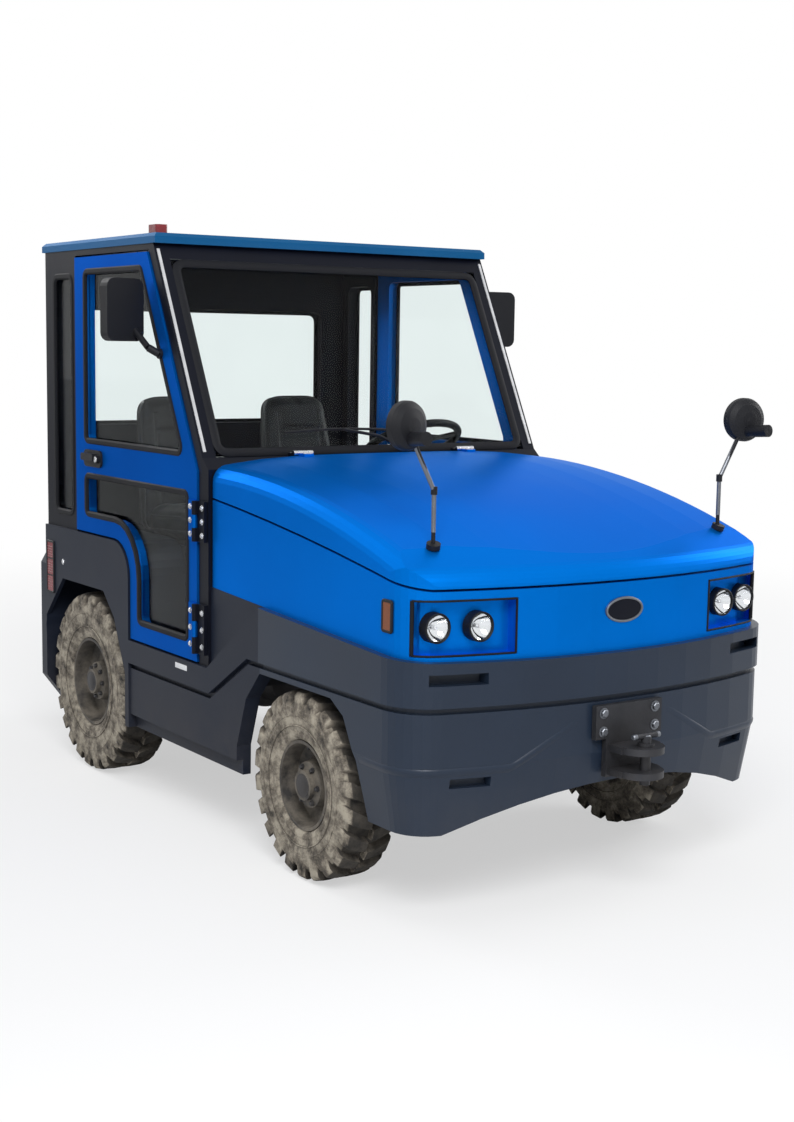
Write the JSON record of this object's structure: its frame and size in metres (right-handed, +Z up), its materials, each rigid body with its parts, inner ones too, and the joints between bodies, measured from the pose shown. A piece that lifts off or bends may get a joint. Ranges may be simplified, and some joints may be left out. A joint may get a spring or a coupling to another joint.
{
  "type": "airport baggage tug",
  "caption": "Electric airport towing tractor with a bonnet, a bumper band, an enclosed two-seat cab, a rear counterweight and drop-pin hitches at both ends.",
  "frame": {"origin": "on the ground, midway between the axles and on the vehicle's middle plane", "axes": "+X forward, +Y to the driver's left, +Z up"},
  "size_m": [3.185, 1.7288, 2.005],
  "materials": {
    "slate_panels": "satin slate-grey paint",
    "slate_casting": "slate-grey paint on a casting",
    "blue_panels": "glossy bright blue paint",
    "black_frame": "black paint",
    "chassis_steel": "dark painted steel",
    "glass": "clear safety glass",
    "clear_lamps": "clear lamp lens",
    "amber_lamps": "amber lens",
    "red_lamps": "red lens",
    "black_plastic": "matt black",
    "seat_vinyl": "black vinyl",
    "battery_case": "dark grey case",
    "tyre_rubber": "dusty black rubber",
    "wheel_rims": "black paint"
  },
  "bodies": {
    "chassis": {"chassis_frame": "chassis_steel", "front_bumper": "slate_panels", "side_skirts": "slate_panels", "rear_fenders": "slate_panels", "rear_counterweight": "slate_casting", "rear_deck": "blue_panels", "bonnet_sides": "blue_panels", "headlamps": "clear_lamps", "corner_lamps": "amber_lamps", "rear_and_roof_lamps": "red_lamps", "front_hitch": "chassis_steel", "rear_hitch": "chassis_steel", "cab_frame": "black_frame", "cab_rear_wall": "black_frame", "roof": "blue_panels", "cab_glass": "glass", "cab_floor": "black_plastic", "dashboard": "black_plastic", "seat_cushions": "seat_vinyl", "seat_backs": "seat_vinyl", "battery_pack": "battery_case", "rear_axle": "chassis_steel", "front_axle": "chassis_steel"},
    "bonnet": {"bonnet_lid": "blue_panels", "pole_mirrors": "black_plastic"},
    "left_door": {"door_left": "blue_panels", "door_glass_left": "glass", "door_fittings_left": "black_plastic"},
    "right_door": {"door_right": "blue_panels", "door_glass_right": "glass", "door_fittings_right": "black_plastic"},
    "left_knuckle": {"knuckle_left": "chassis_steel"},
    "right_knuckle": {"knuckle_right": "chassis_steel"},
    "front_left_wheel": {"tyre_front_left": "tyre_rubber", "rim_front_left": "wheel_rims"},
    "front_right_wheel": {"tyre_front_right": "tyre_rubber", "rim_front_right": "wheel_rims"},
    "rear_left_wheel": {"tyre_rear_left": "tyre_rubber", "rim_rear_left": "wheel_rims"},
    "rear_right_wheel": {"tyre_rear_right": "tyre_rubber", "rim_rear_right": "wheel_rims"},
    "tie_rod": {"tie_rod": "chassis_steel"},
    "steering_wheel": {"steering_wheel": "black_plastic"},
    "front_hitch_pin": {"front_hitch_pin": "chassis_steel"},
    "rear_hitch_pin": {"rear_hitch_pin": "chassis_steel"}
  },
  "joints": [
    {"name": "steer_left", "type": "hinge", "parent": "chassis", "child": "left_knuckle", "pos_m": [0.775, 0.4805, 0.29], "axis": [0, 0, 1], "range_deg": [-36, 36]},
    {"name": "steer_right", "type": "hinge", "parent": "chassis", "child": "right_knuckle", "pos_m": [0.775, -0.4805, 0.29], "axis": [0, 0, 1], "range_deg": [-36, 36]},
    {"name": "tie_rod_pivot", "type": "hinge", "parent": "left_knuckle", "child": "tie_rod", "pos_m": [0.65, 0.4805, 0.221], "axis": [0, 0, 1], "range_deg": [-36, 36]},
    {"name": "steering_wheel_turn", "type": "hinge", "parent": "chassis", "child": "steering_wheel", "pos_m": [-0.08493, 0.3, 1.25137], "axis": [-0.4695, 0, 0.8829], "range_deg": [-540, 540]},
    {"name": "spin_front_left", "type": "hinge", "parent": "left_knuckle", "child": "front_left_wheel", "pos_m": [0.775, 0.6005, 0.29], "axis": [0, 1, 0], "continuous": true},
    {"name": "spin_front_right", "type": "hinge", "parent": "right_knuckle", "child": "front_right_wheel", "pos_m": [0.775, -0.6005, 0.29], "axis": [0, 1, 0], "continuous": true},
    {"name": "spin_rear_left", "type": "hinge", "parent": "chassis", "child": "rear_left_wheel", "pos_m": [-0.775, 0.593, 0.336], "axis": [0, 1, 0], "continuous": true},
    {"name": "spin_rear_right", "type": "hinge", "parent": "chassis", "child": "rear_right_wheel", "pos_m": [-0.775, -0.593, 0.336], "axis": [0, 1, 0], "continuous": true},
    {"name": "left_door_hinge", "type": "hinge", "parent": "chassis", "child": "left_door", "pos_m": [0.133, 0.707, 0.85], "axis": [0, 0, -1], "range_deg": [0, 75]},
    {"name": "right_door_hinge", "type": "hinge", "parent": "chassis", "child": "right_door", "pos_m": [0.133, -0.707, 0.85], "axis": [0, 0, 1], "range_deg": [0, 75]},
    {"name": "bonnet_hinge", "type": "hinge", "parent": "chassis", "child": "bonnet", "pos_m": [0.196, 0, 1.249], "axis": [0, -1, 0], "range_deg": [0, 50]},
    {"name": "front_pin_lift", "type": "slide", "parent": "chassis", "child": "front_hitch_pin", "axis": [0, 0, 1], "range_m": [0, 0.1]},
    {"name": "rear_pin_lift", "type": "slide", "parent": "chassis", "child": "rear_hitch_pin", "axis": [0, 0, 1], "range_m": [0, 0.24]}
  ],
  "couplings": [
    {"joint": "steer_right", "follows": "steer_left", "ratio": 1},
    {"joint": "tie_rod_pivot", "follows": "steer_left", "ratio": -1},
    {"joint": "steering_wheel_turn", "follows": "steer_left", "ratio": 15}
  ]
}
